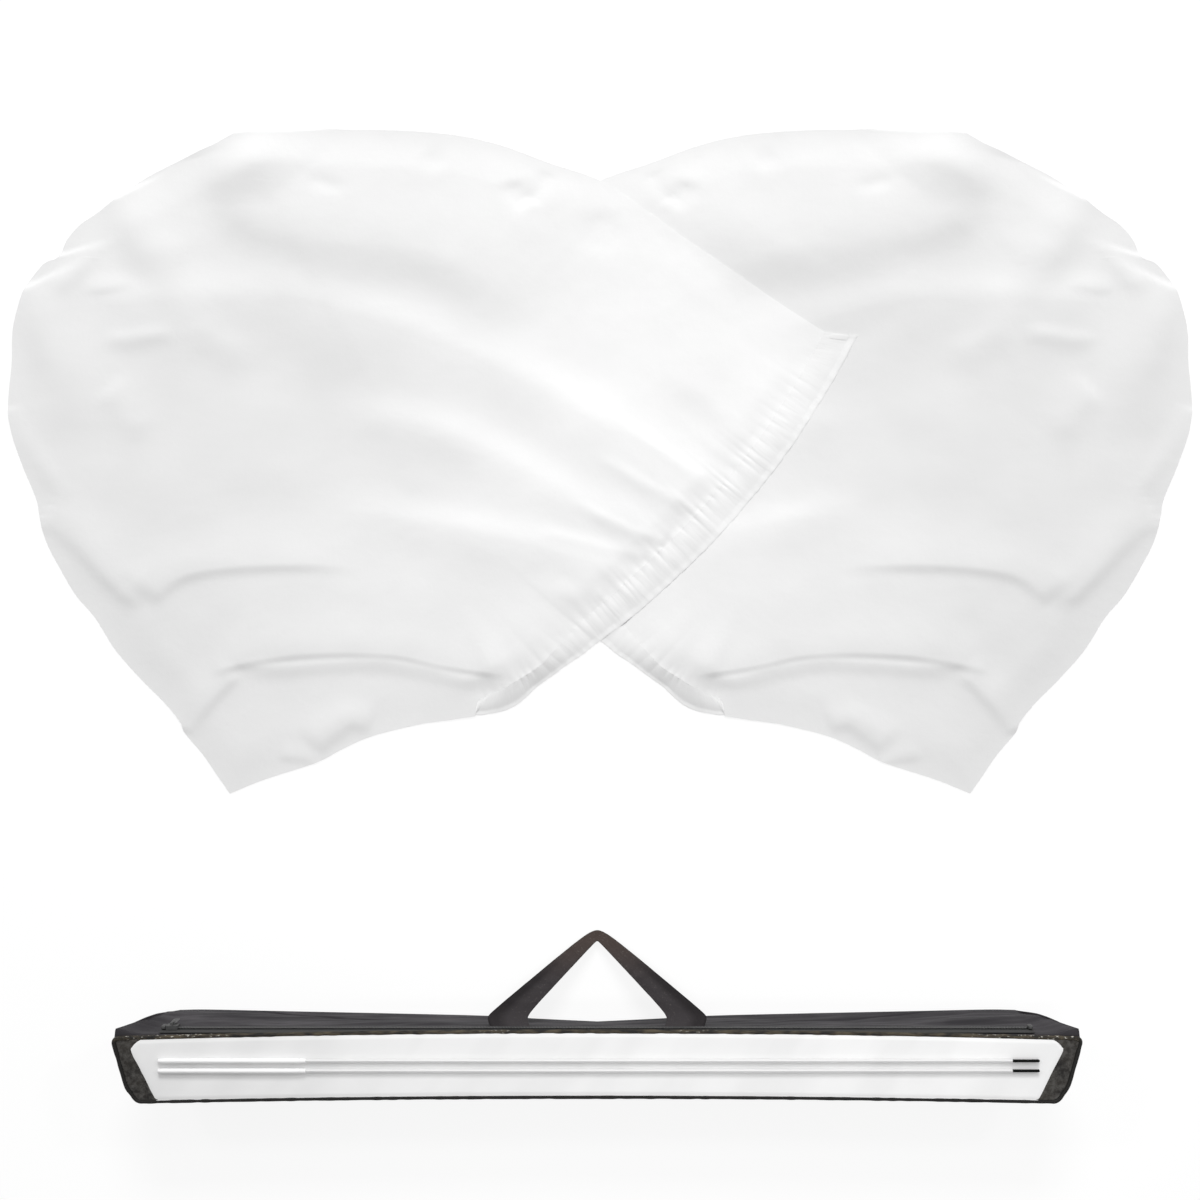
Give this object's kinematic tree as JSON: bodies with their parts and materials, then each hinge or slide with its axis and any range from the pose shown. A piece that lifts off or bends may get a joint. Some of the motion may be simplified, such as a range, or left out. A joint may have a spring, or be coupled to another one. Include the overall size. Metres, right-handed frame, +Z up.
{
  "type": "collapsible backdrop panel",
  "caption": "White cloth backdrop panels with elastic-gathered hems, laid out with a long carry bag with a strap handle and slim poles whose rods slide into their grips.",
  "frame": {"origin": "on the ground, under the middle of the laid-out set's box", "axes": "+X to the right along the bag, +Y from the bag towards the cloth panels, +Z up"},
  "size_m": [1.3022, 1.047, 0.0902],
  "materials": {
    "panel_cloth": "white satin-faced polyester, softly creased",
    "hem_elastic": "woven elastic band",
    "front_cloth": "pale coated cloth, smooth",
    "bag_cloth": "black woven nylon, dusty at its edges",
    "stiffener": "thin stiffening board",
    "piping": "black covered cord",
    "zip_tape": "dark woven tape",
    "zip_metal": "worn metal zip",
    "strap": "black webbing, worn brown-grey",
    "pole_white": "white glass-fibre tube",
    "pole_black": "black moulded tip"
  },
  "bodies": {
    "bag": {"bag_back_panel": "bag_cloth", "bag_top_gusset": "bag_cloth", "bag_bottom_gusset": "bag_cloth", "bag_left_end": "bag_cloth", "bag_right_end": "bag_cloth", "bag_back_board": "stiffener", "zip_tape": "zip_tape", "zip_chain": "zip_metal", "zip_left_stop": "zip_metal", "zip_right_stop": "zip_metal", "handle_left_anchor": "strap", "handle_right_anchor": "strap"},
    "bag_front": {"bag_front_panel": "front_cloth", "bag_front_left_border": "bag_cloth", "bag_front_right_border": "bag_cloth", "bag_front_piping": "piping", "bag_front_board": "stiffener"},
    "handle": {"handle_strap": "strap"},
    "zip_slider": {"zip_slider": "zip_metal"},
    "zip_pull": {"zip_pull": "zip_metal"},
    "pole_1": {"pole_1_grip": "pole_white", "pole_1_end_plug": "pole_white", "pole_1_nose": "pole_white"},
    "pole_1_rod": {"pole_1_rod": "pole_white", "pole_1_rod_stop": "pole_white", "pole_1_tip": "pole_black"},
    "pole_2": {"pole_2_grip": "pole_white", "pole_2_end_plug": "pole_white", "pole_2_nose": "pole_white"},
    "pole_2_rod": {"pole_2_rod": "pole_white", "pole_2_rod_stop": "pole_white", "pole_2_tip": "pole_black"},
    "right_panel": {"right_panel_cloth": "panel_cloth", "right_hem_casing": "panel_cloth", "right_hem_elastic": "hem_elastic", "right_hem_upper_tack": "panel_cloth", "right_hem_lower_tack": "panel_cloth"},
    "left_panel": {"left_panel_cloth": "panel_cloth", "left_hem_casing": "panel_cloth", "left_hem_elastic": "hem_elastic", "left_hem_upper_tack": "panel_cloth", "left_hem_lower_tack": "panel_cloth"}
  },
  "joints": [
    {"name": "front_open", "type": "hinge", "parent": "bag", "child": "bag_front", "pos_m": [-0.003, -0.5235, 0.0803], "axis": [1, 0, 0], "range_deg": [0, 100]},
    {"name": "handle_swing", "type": "hinge", "parent": "bag", "child": "handle", "pos_m": [-0.003, -0.4485, 0.034], "axis": [1, 0, 0], "range_deg": [0, 105]},
    {"name": "zip_slide", "type": "slide", "parent": "bag", "child": "zip_slider", "axis": [1, 0, 0], "range_m": [0, 0.896]},
    {"name": "zip_pull_swing", "type": "hinge", "parent": "zip_slider", "child": "zip_pull", "pos_m": [-0.45145, -0.4475, 0.067], "axis": [1, 0, 0], "range_deg": [0, 165]},
    {"name": "pole_1_lift", "type": "slide", "parent": "bag_front", "child": "pole_1", "axis": [0, 0, 1], "range_m": [0, 0.25]},
    {"name": "pole_1_rod_slide", "type": "slide", "parent": "pole_1", "child": "pole_1_rod", "axis": [1, 0, 0], "range_m": [-0.128, 0]},
    {"name": "pole_2_lift", "type": "slide", "parent": "bag_front", "child": "pole_2", "axis": [0, 0, 1], "range_m": [0, 0.25]},
    {"name": "pole_2_rod_slide", "type": "slide", "parent": "pole_2", "child": "pole_2_rod", "axis": [1, 0, 0], "range_m": [-0.128, 0]},
    {"name": "right_panel_lift", "type": "slide", "parent": "bag", "child": "right_panel", "axis": [0, 0, 1], "range_m": [0, 0.3]},
    {"name": "left_panel_lift", "type": "slide", "parent": "right_panel", "child": "left_panel", "axis": [0, 0, 1], "range_m": [0, 0.3]}
  ]
}
